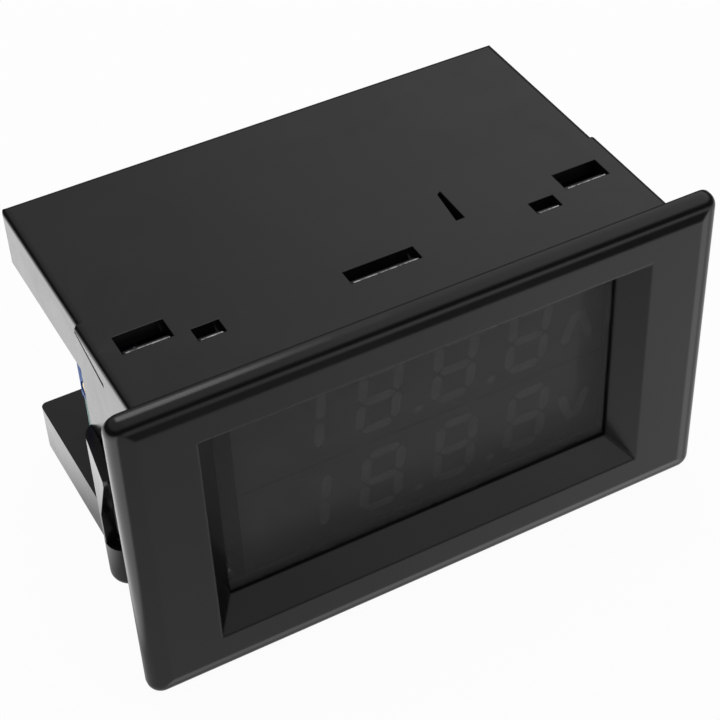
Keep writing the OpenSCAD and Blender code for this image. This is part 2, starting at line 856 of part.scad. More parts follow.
// axial resistors in a row
module resistors() {
    r = resistor_r;
    color([0.75, 0.65, 0.5])
        for (i = [0:2])
            translate([resistor_x, main_board_y - r - 0.1, resistor_top - i * resistor_pitch]) {
                rotate([0, 90, 0]) rotate_extrude() polygon([
                    [0, 0], [0.3, 0], [0.3, 0.8], [r, 1.1], [r, 2.3], [r - 0.2, 2.5],
                    [r - 0.2, 4.2], [r, 4.4], [r, 5.6], [0.3, 5.9], [0.3, 6.7], [0, 6.7]
                ]);
                for (x = [0.2, 6.1])
                    block([x, x + 0.4], [0, r + 0.1], [-0.25, 0.25]);
            }
}

// ---------- trimmers ----------

module trimmer_body() {
    s = trimmer_s;
    difference() {
        translate([-trimmer_x, trimmer_y, trimmer_bottom]) cube([s, trimmer_t, s]);
        // shallow step round the adjusting screw
        translate([-trimmer_x - eps, trimmer_bore_y, trimmer_bore_z]) rotate([0, 90, 0])
            cylinder(r = trimmer_screw_r + 0.25, h = 0.4);
        translate([-trimmer_x - eps, trimmer_bore_y, trimmer_bore_z]) rotate([0, 90, 0])
            cylinder(r = trimmer_screw_r + seat_gap, h = trimmer_bore_len + 0.1);
        // lead recess along the bottom edge
        translate([-trimmer_x - eps, trimmer_y - eps, trimmer_bottom - eps])
            cube([s + 2 * eps, 0.5, 0.5]);
    }
}

module trimmer_screw() {
    translate([-trimmer_x + 0.1, trimmer_bore_y, trimmer_bore_z]) rotate([0, 90, 0])
        difference() {
            cylinder(r = trimmer_screw_r, h = trimmer_bore_len - 0.1);
            translate([-trimmer_screw_r - 1, -slot_w / 2, -eps])
                cube([2 * trimmer_screw_r + 2, slot_w, slot_d]);
        }
}

module left_trimmer() {
    color([0.1, 0.25, 0.65]) trimmer_body();
}

module right_trimmer() {
    color([0.1, 0.25, 0.65]) mirror([1, 0, 0]) trimmer_body();
}

module left_trimmer_screw() {
    color([0.8, 0.65, 0.3]) trimmer_screw();
}

module right_trimmer_screw() {
    color([0.8, 0.65, 0.3]) mirror([1, 0, 0]) trimmer_screw();
}

// three leads down the board's front face from each trimmer
module trimmer_leads() {
    color([0.8, 0.8, 0.82]) both_sides()
        for (i = [-1, 0, 1]) {
            x = -trimmer_x + trimmer_s / 2 + i * 2.3;
            block([x - 0.25, x + 0.25], [main_board_y - 0.5, main_board_y],
                [trimmer_bottom - 2.4, trimmer_bottom]);
        }
}

// ---------- terminals ----------

// the hollow of one terminal: wire entry, clamp chamber, screw web and head well
module terminal_hollow(x) {
    side = clamp_half_w + clamp_gap;
    low = tb_axis_z - clamp_half_h - clamp_gap;
    chamber_front = clamp_front - clamp_gap;
    entry_y = (clamp_front + clamp_wall + contact_y) / 2;
    block([x - side, x + side], [chamber_front, chamber_back], [low, leg_z + leg_t + 0.2]);
    block([x - entry_w / 2, x + entry_w / 2], [entry_y - entry_w / 2, entry_y + entry_w / 2],
        [tb_bottom - eps, low + eps]);
    rod_y(x, tb_axis_z, screw_r + 0.1, chamber_back - eps, web_t + 2 * eps);
    rod_y(x, tb_axis_z, screw_head_r + 0.2, head_y - seat_gap, tb_back - head_y + 1);
    block([x - 1.1, x + 1.1], [main_board_back - eps, chamber_front + eps],
        [leg_z - 0.1, leg_z + leg_t + 0.1]);
}

module terminal_block() {
    rib = 0.5;
    color([0.1, 0.35, 0.2]) difference() {
        union() {
            block([-tb_w / 2, tb_w / 2], [main_board_back, tb_back], [tb_bottom, tb_top - 1.2]);
            // raised back ledge and the dividers between the terminals
            block([-tb_w / 2, tb_w / 2], [main_board_back, tb_back - 5], [tb_top - 1.2 - eps, tb_top]);
            for (i = [0:terminals])
                block([-tb_w / 2 + i * terminal_pitch - (i == 0 ? 0 : rib),
                        -tb_w / 2 + i * terminal_pitch + (i == terminals ? 0 : rib)],
                    [tb_back - 5 - eps, tb_back], [tb_top - 1.2 - eps, tb_top]);
        }
        for (i = [0:terminals - 1]) terminal_hollow(terminal_x(i));
    }
}

// tinned contact bars, each with its leg to the board
module terminal_contacts() {
    color([0.8, 0.8, 0.78])
        for (i = [0:terminals - 1]) {
            x = terminal_x(i);
            block([x - 1.5, x + 1.5], [contact_y, contact_y + contact_t],
                [tb_axis_z - clamp_half_h + 0.2, leg_z + leg_t]);
            block([x - 1, x + 1], [main_board_back, contact_y + eps], [leg_z, leg_z + leg_t]);
        }
}

module terminal_screw(i) {
    x = terminal_x(i);
    color([0.75, 0.75, 0.77]) difference() {
        union() {
            rod_y(x, tb_axis_z, screw_r, screw_tip, head_y - screw_tip + eps);
            rod_y(x, tb_axis_z, screw_head_r, head_y, head_depth);
        }
        block([x - slot_w / 2, x + slot_w / 2],
            [head_y + head_depth - slot_d, head_y + head_depth + eps],
            [tb_axis_z - screw_head_r - 1, tb_axis_z + screw_head_r + 1]);
    }
}

// a rising clamp: a square frame with a tapped wall at its back
module wire_clamp(i) {
    x = terminal_x(i);
    z = tb_axis_z;
    color([0.8, 0.8, 0.78]) difference() {
        block([x - clamp_half_w, x + clamp_half_w], [clamp_front, clamp_back],
            [z - clamp_half_h, z + clamp_half_h]);
        block([x - clamp_half_w + clamp_wall, x + clamp_half_w - clamp_wall],
            [clamp_front + clamp_wall, clamp_back - clamp_nut_t],
            [z - clamp_half_h - eps, z + clamp_half_h + eps]);
        rod_y(x, z, screw_r + seat_gap, clamp_back - clamp_nut_t - eps, clamp_nut_t + 2 * eps);
    }
}

// ---------- the pieces, one by one ----------

front_bezel();
display_filter();
housing();
left_clip();
right_clip();
upper_display();
lower_display();
upper_segments();
lower_segments();
display_board();
driver_chip();
main_board();
board_header();
header_pins();
board_spacers();
board_screws();
left_trimmer();
right_trimmer();
left_trimmer_screw();
right_trimmer_screw();
trimmer_leads();
terminal_block();
terminal_contacts();
terminal_screw(0);  // terminal_screw_1
terminal_screw(1);  // terminal_screw_2
terminal_screw(2);  // terminal_screw_3
terminal_screw(3);  // terminal_screw_4
wire_clamp(0);  // wire_clamp_1
wire_clamp(1);  // wire_clamp_2
wire_clamp(2);  // wire_clamp_3
wire_clamp(3);  // wire_clamp_4
film_capacitor();
supply_capacitors();
varistor();
bridge_rectifier();
converter_chip();
resistors();
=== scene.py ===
import math

import bmesh
import bpy
from bpy.props import FloatProperty, FloatVectorProperty, PointerProperty
from mathutils import Matrix, Vector


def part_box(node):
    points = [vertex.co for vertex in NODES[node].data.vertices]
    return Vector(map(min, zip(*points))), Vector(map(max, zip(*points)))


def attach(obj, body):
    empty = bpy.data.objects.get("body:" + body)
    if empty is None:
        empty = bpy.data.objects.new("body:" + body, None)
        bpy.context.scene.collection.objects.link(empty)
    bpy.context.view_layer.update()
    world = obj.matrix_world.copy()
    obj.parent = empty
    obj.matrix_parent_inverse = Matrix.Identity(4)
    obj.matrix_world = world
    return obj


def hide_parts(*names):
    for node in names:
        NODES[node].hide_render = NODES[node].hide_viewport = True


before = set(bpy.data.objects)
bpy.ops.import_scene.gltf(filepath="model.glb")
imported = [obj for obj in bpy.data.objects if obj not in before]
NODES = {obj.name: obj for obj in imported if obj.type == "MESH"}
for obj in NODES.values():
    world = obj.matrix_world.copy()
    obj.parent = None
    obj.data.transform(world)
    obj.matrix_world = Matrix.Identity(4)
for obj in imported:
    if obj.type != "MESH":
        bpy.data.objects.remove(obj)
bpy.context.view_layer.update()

bl_info = {
    "name": "Digital panel meter",
    "version": (1, 0, 0),
    "blender": (4, 5, 0),
    "location": "3D View > Sidebar > Panel meter",
    "description": "Finishes, small fittings and the studio for a snap-in digital panel meter",
    "category": "Object",
}

MM = 0.001


# ---------- sizes and colours that a user may change ----------


def colour(name, description, default):
    """A colour property."""
    return FloatVectorProperty(
        name=name, description=description, default=default, subtype="COLOR", size=3,
        min=0.0, max=1.0,
    )


def length(name, description, default):
    """A length property, in metres."""
    return FloatProperty(
        name=name, description=description, default=default, unit="LENGTH", precision=5
    )


def share(name, description, default, top=1.0):
    """A property between 0 and top."""
    return FloatProperty(name=name, description=description, default=default, min=0.0, max=top)


class MeterFinish(bpy.types.PropertyGroup):
    """Colours and gloss of the meter's materials, and the form of its display filter."""

    plastic: colour("Plastic", "Black of the case and the bezel", (0.0088, 0.0088, 0.0093))
    bezel_gloss: share("Bezel roughness", "Roughness of the bezel's skin", 0.17)
    case_gloss: share("Case roughness", "Roughness of the case's skin", 0.2)
    grain: length("Grain", "Depth of the moulded skin's fine grain", 0.002 * MM)
    edge: length("Worn edge", "Radius over which sharp moulded edges are softened", 0.16 * MM)
    bezel_edge: length(
        "Bezel edge", "Radius over which the bezel's shallow shoulder is softened", 0.45 * MM
    )
    filter_lap: length(
        "Filter lap", "Width by which the filter's flange laps behind the bezel", 2.2 * MM
    )
    filter_front: length(
        "Filter front", "Distance of the filter's raised middle behind the panel", 1.2 * MM
    )
    # The filter colour is the sheet's smoke, lifted as a painted sheen for part of what its face
    # reflects.
    filter_smoke_and_sheen: colour("Filter", "Smoke colour of the display filter", (0.066, 0.065, 0.065))
    filter_density: share(
        "Filter density", "Share of the light that one face of the filter stops", 0.36
    )
    face: colour("Display face", "Ink on the display blocks", (0.15, 0.148, 0.146))
    face_edge: colour(
        "Display face edge", "Ink towards the edges of the display blocks", (0.13, 0.13, 0.13)
    )
    segment: colour("Segments", "Milky resin of the unlit segments", (0.27, 0.265, 0.26))
    mask: colour("Solder mask", "Green lacquer on the circuit boards", (0.012, 0.11, 0.05))
    laminate: colour("Board edge", "Bare laminate on the edges of the boards", (0.27, 0.5, 0.47))
    trimmer: colour("Trimmers", "Blue resin of the trimmers", (0.02, 0.15, 0.62))
    terminal: colour("Terminal block", "Plastic of the terminal block", (0.016, 0.12, 0.05))


class MeterStage(bpy.types.PropertyGroup):
    """Camera, floor and lamps."""

    camera_place: FloatVectorProperty(
        name="Camera place", description="Where the camera stands", subtype="TRANSLATION",
        unit="LENGTH", default=(-0.0789592, -0.1415204, 0.1622632), precision=5,
    )
    camera_aim: FloatVectorProperty(
        name="Camera aim", description="Direction in which the camera looks",
        subtype="DIRECTION", default=(0.3294586, 0.6596557, -0.6755082), precision=5,
    )
    camera_roll: FloatProperty(
        name="Camera roll", description="Turn of the camera about its aim", subtype="ANGLE",
        default=math.radians(-2.6984),
    )
    lens: FloatProperty(
        name="Lens", description="Focal length in millimetres", default=95.0067, min=10.0
    )
    shift: FloatVectorProperty(
        name="Shift", description="Shift of the picture, as shares of its width", size=2,
        default=(-0.00155, -0.00326), precision=5,
    )
    floor_drop: length("Floor gap", "Gap between the meter and the floor", 0.02 * MM)
    near_glow: share(
        "Floor in front", "Brightness of the floor in front, as gloss mirrors it", 0.7, 5.0
    )
    left_glow: share(
        "Floor at the left", "Brightness of the floor at the left, as gloss mirrors it", 1.45, 5.0
    )
    far_glow: share(
        "Floor far off", "Brightness of the floor far off, as gloss mirrors it", 0.06, 5.0
    )
    sky: share("Room above", "Brightness of the room high up", 0.85, 3.0)
    horizon: share("Room low down", "Brightness of the room just above the floor", 0.05, 3.0)
    softbox: FloatProperty(
        name="Softbox", description="Power of the overhead softbox in watts", default=1.5, min=0.0
    )


# ---------- tones of the small fittings ----------

# The barb tips' painted glint: pale patches over dark grey.
GLINT_DARK, GLINT_PALE = (0.1, 0.1, 0.1), (0.62, 0.62, 0.63)
CHIP_BLACK = (0.018, 0.018, 0.019)
GOLD = (0.86, 0.66, 0.3)
TIN = (0.75, 0.75, 0.73)
SOLDER = (0.72, 0.72, 0.74)
BRASS = (0.83, 0.6, 0.26)
ZINC = (0.7, 0.7, 0.71)
YELLOW_ZINC = (0.7, 0.66, 0.52)
NYLON = (0.72, 0.72, 0.68)
FILM_YELLOW = (0.62, 0.42, 0.05)
VARISTOR_BLUE = (0.02, 0.1, 0.34)
SLEEVE_BLUE = (0.02, 0.028, 0.11)
SEAL_RUBBER, CAN_TOP = (0.02, 0.02, 0.02), (0.6, 0.6, 0.61)
RESISTOR_TAN, LEAD_GREY = (0.5, 0.38, 0.22), (0.62, 0.62, 0.6)
RESISTOR_BANDS = ((0.3, 0.08, 0.02), (0.012, 0.012, 0.012), (0.5, 0.05, 0.02), (0.55, 0.38, 0.08))
PAPER_DARK, PAPER_PALE = (0.88, 0.88, 0.88), (0.92, 0.92, 0.92)
WHITE = (1.0, 1.0, 1.0, 1.0)

# ---------- places and forms of the added pieces ----------

# Each upper snap barb in millimetres: its middle x, its window's front edge y, its tip's length.
BARB_TIPS = (
    (-22.4, 8.7, 2.7), (0.0, 8.7, 8.6), (22.4, 8.7, 2.7), (-29.3, 11.0, 5.4), (29.3, 11.0, 5.4),
)
# A tip's section in millimetres: back from its middle, and up from its foot.
TIP_SECTION = (
    (-0.18, 0.0), (-0.18, 0.4), (-0.12, 0.53), (0.0, 0.59), (0.12, 0.53), (0.18, 0.4), (0.18, 0.0),
)
TIP_UNDER_ROOF = 0.07 * MM
TIP_DEPTH = 0.62 * MM
TIP_BEHIND_EDGE = 0.25 * MM

FILTER_CLEARANCE = 0.04 * MM
FILTER_CHAMFER = 0.12 * MM

LEAD_PITCH = 2.3 * MM
LEAD_LENGTH = 2.4 * MM
# A solder fillet's outline in millimetres: radius, and height over the board.
FILLET_OUTLINE = ((0.95, 0.0), (0.8, 0.1), (0.62, 0.28), (0.45, 0.5), (0.22, 0.62))
FILLET_RISE = 0.55 * MM
FILLET_OVAL = 1.15
FILLET_TURNS = 20


# ---------- shader helpers ----------

# Most of a soft noise lies between these two.
DIPS, PEAKS = 0.3, 0.7


def add(tree, kind, inputs=None, **settings):
    """Adds a node; an input is given as a value or as another node's output."""
    made = tree.nodes.new(kind)
    for key, value in settings.items():
        setattr(made, key, value)
    for key, value in (inputs or {}).items():
        if isinstance(value, bpy.types.NodeSocket):
            tree.links.new(value, made.inputs[key])
        else:
            made.inputs[key].default_value = value
    return made


def place(tree):
    """Where a point of the surface is, in the object's own metres."""
    return add(tree, "ShaderNodeTexCoord").outputs["Object"]


def split(tree, vector):
    """The x, y and z of a vector."""
    return add(tree, "ShaderNodeSeparateXYZ", {"Vector": vector}).outputs


def maths(tree, operation, one, two=0.0):
    """One step of arithmetic."""
    return add(tree, "ShaderNodeMath", {0: one, 1: two}, operation=operation).outputs["Value"]


def stretch(tree, vector, scale):
    """A vector scaled by itself along each axis."""
    return add(
        tree, "ShaderNodeVectorMath", {0: vector, 1: scale}, operation="MULTIPLY"
    ).outputs["Vector"]


def noise(tree, where, size, detail=3.0, rough=0.5, warp=0.0):
    """Soft noise whose features are about size metres wide."""
    return add(
        tree, "ShaderNodeTexNoise",
        {
            "Vector": where, "Scale": 1.0 / size, "Detail": detail, "Roughness": rough,
            "Distortion": warp,
        },
    ).outputs["Fac"]


def span(tree, value, start, end, low=0.0, high=1.0):
    """value between start and end becomes low to high, with soft ends."""
    return add(
        tree, "ShaderNodeMapRange",
        {"Value": value, "From Min": start, "From Max": end, "To Min": low, "To Max": high},
        interpolation_type="SMOOTHSTEP",
    ).outputs["Result"]


def mix(tree, factor, one, two):
    """A mix of two colours, given as colours or outputs."""
    made = add(tree, "ShaderNodeMix", data_type="RGBA")
    tree.links.new(factor, made.inputs[0])
    for key, value in ((6, one), (7, two)):
        if isinstance(value, bpy.types.NodeSocket):
            tree.links.new(value, made.inputs[key])
        else:
            made.inputs[key].default_value = (*value, 1.0)
    return made.outputs[2]


def scaled(tone, by):
    """A colour made lighter or darker."""
    return tuple(min(1.0, channel * by) for channel in tone)


def shaded(tree, factor, tone, darkest, lightest):
    """A colour that runs from darkest to lightest times itself."""
    return mix(tree, factor, scaled(tone, darkest), scaled(tone, lightest))


def bump(tree, height, depth, normal=None):
    """The normal over a height between 0 and 1 that is depth metres deep."""
    inputs = {"Height": height, "Distance": depth, "Strength": 1.0}
    if normal is not None:
        inputs["Normal"] = normal
    return add(tree, "ShaderNodeBump", inputs).outputs["Normal"]


def soft_edges(tree, radius):
    """The normal with sharp edges rounded over radius metres."""
    return add(tree, "ShaderNodeBevel", {"Radius": radius}, samples=6).outputs["Normal"]


def seen_rays(tree, *kinds):
    """1 for rays of the given kinds, such as Camera or Glossy, and 0 for the rest."""
    path = add(tree, "ShaderNodeLightPath").outputs
    total = path[f"Is {kinds[0]} Ray"]
    for kind in kinds[1:]:
        total = maths(tree, "MAXIMUM", total, path[f"Is {kind} Ray"])
    return total


def new_finish(name, base, roughness, relief, **sockets):
    """A material with one Principled shader; roughness is a number or a function of the tree."""
    material = bpy.data.materials.new(name)
    material.use_nodes = True
    tree = material.node_tree
    shader = tree.nodes["Principled BSDF"]
    tree.links.new(base(tree), shader.inputs["Base Color"])
    if callable(roughness):
        tree.links.new(roughness(tree), shader.inputs["Roughness"])
    else:
        shader.inputs["Roughness"].default_value = roughness
    tree.links.new(relief(tree), shader.inputs["Normal"])
    for key, value in sockets.items():
        title = key.replace("_", " ").title().replace("Ior", "IOR")
        shader.inputs[title].default_value = value
    return material


def dress(material, *names):
    """Gives CAD nodes a material."""
    for name in names:
        slots = NODES[name].data.materials
        slots.clear()
        slots.append(material)


# ---------- finishes ----------


def moulded_finish(name, tone, roughness, grain, edge):
    """Injection-moulded skin: fine grain, faint flow waves, hairline rubs and softened edges."""

    def base(tree):
        clouds = noise(tree, place(tree), 14 * MM, detail=4.0, warp=0.6)
        flecks = noise(tree, place(tree), 0.35 * MM, detail=2.0)
        toned = shaded(tree, span(tree, clouds, DIPS, PEAKS), tone, 0.84, 1.16)
        return mix(tree, span(tree, flecks, 0.62, 0.8, 0.0, 0.35), toned, scaled(tone, 1.7))

    def gloss(tree):
        smears = noise(tree, place(tree), 9 * MM, detail=5.0, rough=0.6, warp=1.2)
        rubs = noise(tree, stretch(tree, place(tree), (0.12, 1.0, 1.0)), 0.5 * MM, detail=2.0)
        worn = span(tree, rubs, 0.66, 0.76, 0.0, 0.07)
        uneven = span(tree, smears, DIPS, PEAKS, roughness * 0.86, roughness * 1.16)
        return maths(tree, "ADD", uneven, worn)

    def relief(tree):
        waves = noise(tree, place(tree), 16 * MM, detail=1.0)
        skin = noise(tree, place(tree), 0.22 * MM, detail=3.0, rough=0.6)
        wavy = bump(tree, waves, 0.05 * MM, soft_edges(tree, edge))
        return bump(tree, skin, grain, wavy)

    return new_finish(name, base, gloss, relief, ior=1.5)


def glint_tip_finish(name):
    """Black plastic with pale patches along a thin tip, painted on as a glint."""

    def base(tree):
        patches = noise(tree, place(tree), 0.9 * MM, detail=4.0, rough=0.65)
        return mix(tree, span(tree, patches, 0.36, 0.6), GLINT_DARK, GLINT_PALE)

    def relief(tree):
        return bump(tree, noise(tree, place(tree), 0.3 * MM, detail=2.0), 0.02 * MM)

    return new_finish(name, base, 0.3, relief, ior=1.5)


def smoked_finish(name, tone, density):
    """Smoked acrylic sheet: clear enough to see through, with faint dust and wipe marks; its
    colour is lifted above the smoke as a painted sheen.
    """

    def base(tree):
        dust = noise(tree, place(tree), 0.5 * MM, detail=2.0)
        return mix(tree, span(tree, dust, 0.66, 0.78, 0.0, 0.5), tone, scaled(tone, 4.0))

    def gloss(tree):
        smeared = stretch(tree, place(tree), (0.3, 1.0, 1.0))
        wipes = noise(tree, smeared, 6 * MM, detail=5.0, rough=0.65)
        return span(tree, wipes, 0.35, 0.7, 0.05, 0.12)

    def relief(tree):
        return bump(tree, noise(tree, place(tree), 22 * MM, detail=1.0), 0.02 * MM)

    return new_finish(name, base, gloss, relief, ior=1.49, alpha=density)


def face_finish(name, face, rim, low, high):
    """Ink on a display block: even grey in the middle and darker towards its edges."""
    margin = 2.6 * MM

    def from_edge(tree, value, start, end):
        """How far value is from the nearer of start and end."""
        after = maths(tree, "SUBTRACT", value, start)
        before = maths(tree, "SUBTRACT", end, value)
        return maths(tree, "MINIMUM", after, before)

    def base(tree):
        x, _, z = split(tree, place(tree))
        from_side = from_edge(tree, x, low.x, high.x)
        from_end = from_edge(tree, z, low.z, high.z)
        inside = span(tree, maths(tree, "MINIMUM", from_side, from_end), 0.0, margin)
        mottle = noise(tree, place(tree), 5 * MM)
        speck = noise(tree, place(tree), 0.3 * MM, detail=2.0)
        even = shaded(tree, span(tree, mottle, DIPS, PEAKS), face, 0.88, 1.12)
        grained = mix(tree, span(tree, speck, 0.6, 0.75, 0.0, 0.3), even, scaled(face, 1.5))
        return mix(tree, inside, rim, grained)

    def relief(tree):
        return bump(tree, noise(tree, place(tree), 0.25 * MM, detail=2.0), 0.006 * MM)

    return new_finish(name, base, 0.55, relief, ior=1.45)


def resin_finish(name, tone, roughness, lift=1.35, gleam=0.5):
    """Cast or moulded resin: flecks lift times as light, a slight orange peel and some gleam."""

    def base(tree):
        clouds = noise(tree, place(tree), 1.6 * MM)
        specks = noise(tree, place(tree), 0.3 * MM, detail=2.0)
        toned = shaded(tree, span(tree, clouds, DIPS, PEAKS), tone, 0.9, 1.1)
        return mix(tree, span(tree, specks, 0.6, 0.78, 0.0, 0.5), toned, scaled(tone, lift))

    def gloss(tree):
        smears = noise(tree, place(tree), 1.1 * MM)
        return span(tree, smears, DIPS, PEAKS, roughness * 0.8, roughness * 1.2)

    def relief(tree):
        peel = noise(tree, place(tree), 0.5 * MM, detail=2.0)
        return bump(tree, peel, 0.008 * MM, soft_edges(tree, 0.1 * MM))

    return new_finish(name, base, gloss, relief, ior=1.52, specular_ior_level=gleam)


def banded_finish(name, tone, roughness, bands):
    """Lacquer or sleeve with bands painted round it; a band is (its x, half width, colour)."""
    blur = 0.05 * MM

    def base(tree):
        specks = noise(tree, place(tree), 0.4 * MM, detail=2.0)
        painted = shaded(tree, span(tree, specks, 0.3, 0.75), tone, 0.88, 1.14)
        x = split(tree, place(tree))[0]
        for middle, half, band in bands:
            away = maths(tree, "ABSOLUTE", maths(tree, "SUBTRACT", x, middle))
            painted = mix(tree, span(tree, away, half, half + blur, 1.0, 0.0), painted, band)
        return painted

    def relief(tree):
        peel = noise(tree, place(tree), 0.6 * MM, detail=2.0)
        return bump(tree, peel, 0.01 * MM, soft_edges(tree, 0.1 * MM))

    return new_finish(name, base, roughness, relief, ior=1.5)


def metal_finish(name, tone, roughness):
    """Plated or turned metal: fine tool lines, duller patches and softened edges."""

    def base(tree):
        dull = noise(tree, place(tree), 1.4 * MM, detail=4.0, rough=0.6)
        return mix(tree, span(tree, dull, 0.35, 0.75), tone, scaled(tone, 0.72))

    def gloss(tree):
        dull = noise(tree, place(tree), 0.9 * MM, detail=4.0)
        return span(tree, dull, DIPS, PEAKS, roughness * 0.75, roughness * 1.3)

    def relief(tree):
        along = stretch(tree, place(tree), (1.0, 0.15, 1.0))
        lines = noise(tree, along, 0.15 * MM, detail=2.0)
        return bump(tree, lines, 0.004 * MM, soft_edges(tree, 0.07 * MM))

    return new_finish(name, base, gloss, relief, metallic=1.0)


def board_finish(name, mask, laminate):
    """Circuit board: green lacquer over copper tracks on its faces, bare laminate on its edges."""
    track_pitch = 0.9 * MM
    patches_per_metre = 170.0
    upright_from, copper_from = 0.45, 0.25
    ply = 0.2 * MM

    def tracks(tree, where):
        """1 on a copper track: patches of upright or level tracks, and some bare patches."""
        x, _, z = split(tree, where)
        patch = add(
            tree, "ShaderNodeTexVoronoi",
            {"Vector": stretch(tree, where, (1.0, 0.0, 1.0)), "Scale": patches_per_metre},
            distance="CHEBYCHEV",
        ).outputs["Color"]
        turn, fill, _ = split(tree, patch)
        upright = maths(tree, "GREATER_THAN", turn, upright_from)
        across = maths(tree, "MULTIPLY", x, upright)
        along = maths(tree, "MULTIPLY", z, maths(tree, "SUBTRACT", 1.0, upright))
        count = maths(tree, "DIVIDE", maths(tree, "ADD", across, along), track_pitch)
        from_middle = maths(tree, "SUBTRACT", maths(tree, "FRACT", count), 0.5)
        stripe = span(tree, maths(tree, "ABSOLUTE", from_middle), 0.17, 0.23, 1.0, 0.0)
        return maths(tree, "MULTIPLY", stripe, maths(tree, "GREATER_THAN", fill, copper_from))

    def cut_edge(tree, where):
        """Pale laminate with its plies and glass fibres."""
        y = split(tree, where)[1]
        plies = maths(tree, "SINE", maths(tree, "MULTIPLY", y, 2 * math.pi / ply))
        fibres = noise(tree, stretch(tree, where, (1.0, 4.0, 0.4)), 0.5 * MM)
        woven = maths(tree, "ADD", maths(tree, "MULTIPLY", plies, 0.3), fibres)
        return shaded(tree, span(tree, woven, 0.1, 0.9), laminate, 0.8, 1.2)

    def base(tree):
        where = place(tree)
        lacquer = shaded(tree, tracks(tree, where), mask, 0.8, 1.45)
        facing = split(tree, add(tree, "ShaderNodeTexCoord").outputs["Normal"])[1]
        flat = maths(tree, "GREATER_THAN", maths(tree, "ABSOLUTE", facing), 0.5)
        return mix(tree, flat, cut_edge(tree, where), lacquer)

    def relief(tree):
        return bump(tree, noise(tree, place(tree), 0.3 * MM, detail=2.0), 0.01 * MM)

    return new_finish(name, base, 0.5, relief, ior=1.5, specular_ior_level=0.25)


def paper_finish(name, stage):
    """White paper: the eye and gloss see it bright, and it still takes the meter's shadow."""
    eye_white = 0.96
    fade_start, fade_end = 0.1, 0.3
    material = bpy.data.materials.new(name)
    material.use_nodes = True
    tree = material.node_tree
    tree.nodes.remove(tree.nodes["Principled BSDF"])
    tooth = noise(tree, place(tree), 4 * MM)
    paper = add(
        tree, "ShaderNodeBsdfDiffuse", {"Color": mix(tree, tooth, PAPER_DARK, PAPER_PALE)}
    ).outputs[0]
    # What gloss mirrors: a bright stretch at the left, a softer one in front, and dim beyond.
    x, y, _ = split(tree, place(tree))
    leftwards = maths(tree, "SUBTRACT", maths(tree, "MULTIPLY", y, 0.35), x)
    side = maths(tree, "MULTIPLY", span(tree, leftwards, 0.042, 0.054), stage.left_glow)
    front = maths(tree, "MULTIPLY", span(tree, x, -0.03, 0.07, 0.62, 1.0), stage.near_glow)
    near = maths(tree, "MAXIMUM", front, side)
    away = add(
        tree, "ShaderNodeVectorMath", {0: place(tree)}, operation="LENGTH"
    ).outputs["Value"]
    close = maths(tree, "MULTIPLY", near, span(tree, away, fade_start, fade_end, 1.0, 0.0))
    glow = maths(tree, "ADD", close, stage.far_glow)
    mirrored = add(tree, "ShaderNodeEmission", {"Strength": glow}).outputs[0]
    white = add(tree, "ShaderNodeEmission", {"Strength": 1.0}).outputs[0]
    for_eye = maths(tree, "MULTIPLY", seen_rays(tree, "Camera"), eye_white)
    eye = add(tree, "ShaderNodeMixShader", {0: for_eye, 1: paper, 2: white}).outputs[0]
    for_gloss = seen_rays(tree, "Glossy", "Transmission")
    seen = add(tree, "ShaderNodeMixShader", {0: for_gloss, 1: eye, 2: mirrored}).outputs[0]
    tree.links.new(seen, tree.nodes["Material Output"].inputs["Surface"])
    return material


# ---------- mesh helpers ----------


def skin(shape, loops, smooth=False):
    """Joins closed loops of vertices one after another, and caps the first and the last."""
    for one, two in zip(loops, loops[1:]):
        for i in range(len(one)):
            j = (i + 1) % len(one)
            shape.faces.new((one[i], one[j], two[j], two[i])).smooth = smooth
    shape.faces.new(loops[0])
    shape.faces.new(reversed(loops[-1]))


def new_piece(name, shape, finish):
    """Makes an object of a bmesh, with one material, and puts it in the scene."""
    bmesh.ops.recalc_face_normals(shape, faces=shape.faces)
    mesh = bpy.data.meshes.new(name)
    shape.to_mesh(mesh)
    shape.free()
    mesh.materials.append(finish)
    piece = bpy.data.objects.new(name, mesh)
    bpy.context.scene.collection.objects.link(piece)
    return piece


# ---------- operators ----------


class DressMouldings(bpy.types.Operator):
    """Finish the bezel, the case and the two side clips"""

    bl_idname = "panel_meter.dress_mouldings"
    bl_label = "Mouldings"

    def execute(self, context):
        look = context.scene.meter_finish
        bezel = moulded_finish(
            "bezel_skin", look.plastic, look.bezel_gloss, look.grain, look.bezel_edge
        )
        case = moulded_finish("case_skin", look.plastic, look.case_gloss, look.grain, look.edge)
        dress(bezel, "front_bezel")
        dress(case, "housing", "left_clip", "right_clip")
        self.add_barb_tips()
        return {"FINISHED"}

    def add_barb_tips(self):
        """The thin round tip along each upper snap barb, with a painted glint of pale patches."""
        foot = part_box("housing")[1].z - TIP_UNDER_ROOF - TIP_DEPTH
        shape = bmesh.new()
        for x, y, reach in BARB_TIPS:
            middle = y * MM + TIP_BEHIND_EDGE
            ends = [
                [
                    shape.verts.new(((x + side * reach) * MM, middle + back * MM, foot + up * MM))
                    for back, up in TIP_SECTION
                ]
                for side in (-0.5, 0.5)
            ]
            skin(shape, ends)
        # The tips' pale patches are a painted glint.
        piece = new_piece("barb_tips", shape, glint_tip_finish("painted_glint_tip"))
        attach(piece, "case")


